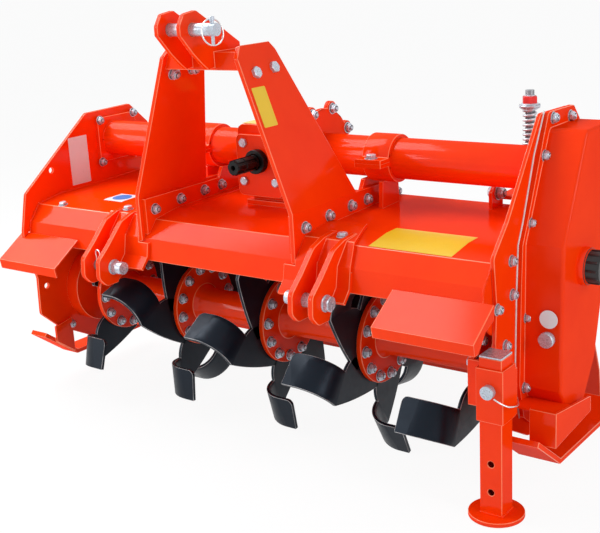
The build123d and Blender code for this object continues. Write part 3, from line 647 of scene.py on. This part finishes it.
for side in ("right", "left"):
    low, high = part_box("spring_" + side)
    centre = (low + high) / 2
    coil = wire_piece("spring_coil_" + side, coil_points(low, high), COIL_WIRE, None, SPRING)
    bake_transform(coil)
    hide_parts("spring_" + side)
    cup = facing(Vector((centre.x, centre.y, high.z)), Z)
    bm = bmesh.new()
    hexagon(bm, cup @ Matrix.Rotation(pi / 6, 4, "Z"), 29, 8, 24.6, 2.4)
    new_piece("rod_lock_nut_" + side, bm, "rod_" + side, LOCK)
    bm = bmesh.new()
    turned(bm, cup, ((11.5, -5), (15, -5), (21, -1), (22.8, 2.5), (22.8, 4.5), (21, 7), (17, 9.5),
                     (11, 10)), 40)
    turned(bm, cup, ((10, 24.2), (11.2, 24.2), (11.2, 26.5), (10, 27.2)), 24)
    new_piece("spring_cup_" + side, bm, "rod_" + side, ZINC)
    bracket_low, bracket_high = [corner.x for corner in corners_of("spring_bracket_" + side)]
    lug_bolt = ((188, 293),)
    heads = on_side(bracket_low, lug_bolt, -X) + on_side(bracket_high, lug_bolt)
    fasteners("bracket_heads_" + side, "frame", heads, 14)
    nuts = on_side(bracket_low + BRACKET_LUG, lug_bolt) + on_side(bracket_high - BRACKET_LUG, lug_bolt, -X)
    fasteners("bracket_nuts_" + side, "frame", nuts, 14, nut=True)

# ---------------------------------------- lower hitch pins: collars, nuts and a clip
collar = ((17, -0.3), (17.5, 0.3), (17.5, 2.4), (16.8, 3))
bm = bmesh.new()
for side in (1, -1):
    outer = facing(at(MAST_X + side * CLEVIS_OUT, PIN_Y, PIN_Z), X * side)
    inner = facing(at(MAST_X + side * CLEVIS_IN, PIN_Y, PIN_Z), -X * side)
    turned(bm, outer, collar, 36)
    hexagon(bm, outer, 29, 2.6, 14, 2.4)
    turned(bm, inner, collar, 36)
    hexagon(bm, inner, 27, 2.8, 18, 2)
new_piece("hitch_pin_nuts", bm, "frame", ZINC)

# the spring clip of the left-hand pin, between its plates: how far down and across each bend lies
clip = ((18, 3), (10, 6), (0, 7), (-12, 9), (-22, 14), (-31, 18), (-38, 16), (-41, 9), (-38, 2), (-31, 0),
        (-22, 3), (-10, 0), (4, 0), (22, 0))
clip_points = [at(MAST_X - 302 + across, PIN_Y - 14.5 - 0.2 * across, PIN_Z - down) for down, across in clip]
wire_piece("pin_clip", clip_points, 1.6, "frame", WIRE)

# ---------------------------------------- lynch pin of the top-link pin, with its ring
low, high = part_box("toplink_pin")
peg_centre = Vector((high.x - 12 * MM, (low.y + high.y) / 2, (low.z + high.z) / 2))
ring_centre = peg_centre - Z * 5 * MM
wire_piece("linch_ring", arc_points(ring_centre, 26, (1, -0.2, 0.15), 345, 36), 1.7, "frame", WIRE,
           closed=True)
bm = bmesh.new()
peg = ((2.4, -48), (3.6, -45), (3.8, 0), (5.8, 1), (5.8, 8), (4.6, 9.5))
turned(bm, facing(peg_centre + Z * 16 * MM, Z), peg, 20)
new_piece("linch_peg", bm, "frame", ZINC)

# ---------------------------------------- chain case: oil cap, level plug and sealant
low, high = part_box("oil_cap")
cap_y, cap_z = (low.y + high.y) / 2, (low.z + high.z) / 2
cap_top = facing(Vector((high.x - 0.5 * MM, cap_y, cap_z)), X)
bm = bmesh.new()
hexagon(bm, cap_top, 34, -6, 0.4, 2)
for i in range(12):
    rib = cap_top @ Matrix.Rotation(2 * pi * i / 12, 4, "Z") @ Matrix.Translation((31.6 * MM, 0, -14 * MM))
    turned(bm, rib, ((2.4, -11), (2.6, -10), (2.6, 10), (1.6, 11.5)), 12)
new_piece("oil_cap_hexagon", bm, "frame", CAP)
bm = bmesh.new()
cap_foot = facing(Vector((low.x, cap_y, cap_z)), X)
turned(bm, cap_foot, ((37.5, 0), (36.9, 3), (36.5, 12), (35, 14.3), (33, 14.5)), 48)
new_piece("cap_boss", bm, "frame", RED)

low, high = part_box("level_plug")
plug_face = facing(Vector(((low.x + high.x) / 2, low.y, (low.z + high.z) / 2)), -Y)
bm = bmesh.new()
turned(bm, plug_face, ((14, -15), (14, -10), (15.3, -9.6), (15.3, -2), (14.2, -0.2), (11, 0)), 40)
round_plug = new_piece("level_plug_cap", bm, "frame", ZINC)
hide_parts("level_plug")

# the line of sealant between the chain case and the side plate, down the front edge
seam = ((51, 492.5), (6, 416), (-41.5, 297.5), (-62.5, 257), (-68.8, 171), (-75.8, -20), (-56, -96))
sealant = [at(RIGHT_PLATE_OUT + 0.5, y, z) for y, z in seam]
wire_piece("case_sealant", sealant, 1.9, "frame", SEALANT, smooth=False)


# ---------------------------------------- labels, all bare
def film(bm, corners, round_by=3.0, lift=0.3, thick=0.25):
    """A thin flat label with rounded corners through its corner points, lifted off the face below it."""
    normal = (corners[1] - corners[0]).cross(corners[3] - corners[0]).normalized()
    outline = []
    for i, corner in enumerate(corners):
        before = (corners[i - 1] - corner).normalized() * round_by * MM
        after = (corners[(i + 1) % len(corners)] - corner).normalized() * round_by * MM
        for k in range(5):
            t = k / 4
            outline.append(corner + before * (1 - t) ** 2 + after * t ** 2)
    loft(bm, [[p + normal * (lift + h) * MM for p in outline] for h in (0, thick)])


def deck_film(bm, x_from, x_to, y_from, y_to, lift=0.5, thick=0.3):
    """A thin label that follows the deck's bends."""
    bends = [y for y, z in DECK if y_from < y < y_to]
    rings = []
    for y in sorted({y_from, y_to, *bends}):
        low, high = deck_z(y) + lift, deck_z(y) + lift + thick
        rings.append([at(x_from, y, low), at(x_to, y, low), at(x_to, y, high), at(x_from, y, high)])
    loft(bm, rings)


def disc_film(bm, place, radius, low, high, mat=0):
    """A thin round label."""
    turned(bm, place, ((radius, low), (radius, high)), 48, mat)


bm = bmesh.new()
deck_film(bm, 324, 508, -147, -40)
new_piece("deck_label", bm, "frame", YELLOW)
bm = bmesh.new()
film(bm, [at(mast_face(z), y, z) for y, z in ((-181, 473), (-138, 473), (-138, 551), (-181, 551))])
new_piece("mast_label", bm, "frame", YELLOW)
bm = bmesh.new()
film(bm, [at(LEFT_PLATE_IN, y, z) for y, z in ((-34, 266), (29, 266), (29, 388), (-34, 388))], round_by=2)
new_piece("left_plate_label", bm, "frame", PLATE)
bm = bmesh.new()
deck_film(bm, -482, -420, -86, -24)
disc_film(bm, facing(at(-451, -53, deck_z(-53)), deck_normal(-75, -30)), 24, 1.0, 1.3, mat=1)
new_piece("greasing_label", bm, "frame", [WHITE, BLUE])
bm = bmesh.new()
film(bm, [at(x, y, 445) for x, y in ((-103, 4), (-60, 4), (-60, 60), (-103, 60))])
new_piece("gearbox_label", bm, "frame", YELLOW)
bm = bmesh.new()
disc_film(bm, facing(at(661, -54, 117), -Y), 18, -0.4, 1.0)
new_piece("level_label", bm, "frame", PLATE)


# ---------------------------------------- studio
def seen_as_white(tree, surface, output, white_kind, share):
    """Mixes a surface with plain white for what looks at it straight or by way of gloss or glass."""
    path = tree.nodes.new("ShaderNodeLightPath")
    most = tree.nodes.new("ShaderNodeMath")
    most.operation = "MAXIMUM"
    tree.links.new(path.outputs["Is Camera Ray"], most.inputs[0])
    tree.links.new(path.outputs["Is Glossy Ray"], most.inputs[1])
    also = tree.nodes.new("ShaderNodeMath")
    also.operation = "MAXIMUM"
    tree.links.new(most.outputs[0], also.inputs[0])
    tree.links.new(path.outputs["Is Transmission Ray"], also.inputs[1])
    part = tree.nodes.new("ShaderNodeMath")
    part.operation = "MULTIPLY"
    part.inputs[1].default_value = share
    tree.links.new(also.outputs[0], part.inputs[0])
    white = tree.nodes.new(white_kind)
    white.inputs["Color"].default_value = (1, 1, 1, 1)
    white.inputs["Strength"].default_value = 1
    mix = tree.nodes.new("ShaderNodeMixShader")
    tree.links.new(part.outputs[0], mix.inputs[0])
    tree.links.new(surface, mix.inputs[1])
    tree.links.new(white.outputs[0], mix.inputs[2])
    tree.links.new(mix.outputs[0], output.inputs["Surface"])


FLOOR_HALF = 60.0
floor_z = cad_low.z - 0.5 * MM
floor_material = bpy.data.materials.new("studio_floor")
floor_material.use_nodes = True
tree = floor_material.node_tree
tree.nodes.remove(tree.nodes["Principled BSDF"])
diffuse = tree.nodes.new("ShaderNodeBsdfDiffuse")
diffuse.inputs["Color"].default_value = (0.9, 0.9, 0.9, 1)
seen_as_white(tree, diffuse.outputs[0], tree.nodes["Material Output"], "ShaderNodeEmission", 0.93)
bm = bmesh.new()
floor_corners = ((-1, -1), (1, -1), (1, 1), (-1, 1))
bm.faces.new([bm.verts.new((x * FLOOR_HALF, y * FLOOR_HALF, floor_z)) for x, y in floor_corners])
floor_mesh = bpy.data.meshes.new("floor")
bm.to_mesh(floor_mesh)
bm.free()
floor_mesh.materials.append(floor_material)
placed("floor", floor_mesh)

world = bpy.data.worlds.new("studio")
world.use_nodes = True
bpy.context.scene.world = world
tree = world.node_tree
sky = tree.nodes["Background"]
sky.inputs["Color"].default_value = (0.95, 0.97, 1.0, 1)
sky.inputs["Strength"].default_value = 0.5
seen_as_white(tree, sky.outputs[0], tree.nodes["World Output"], "ShaderNodeBackground", 1.0)


def softbox(name, place, target, width, height, power):
    """A rectangular lamp that looks at a target."""
    light = bpy.data.lights.new(name, "AREA")
    light.shape = "RECTANGLE"
    light.size, light.size_y = width, height
    light.energy = power
    box = placed(name, light)
    box.location = place
    box.rotation_mode = "QUATERNION"
    box.rotation_quaternion = (Vector(target) - Vector(place)).to_track_quat("-Z", "Y")


softbox("softbox_top", (-1.65, -0.25, 2.45), (0, 0, 0.4), 1.9, 2.2, 78)
softbox("softbox_front", (-2.4, -3.0, 1.6), (0, 0, 0.4), 1.6, 1.6, 48)
softbox("softbox_side", (3.4, -0.6, 1.6), (0.4, 0, 0.4), 1.4, 1.8, 36)
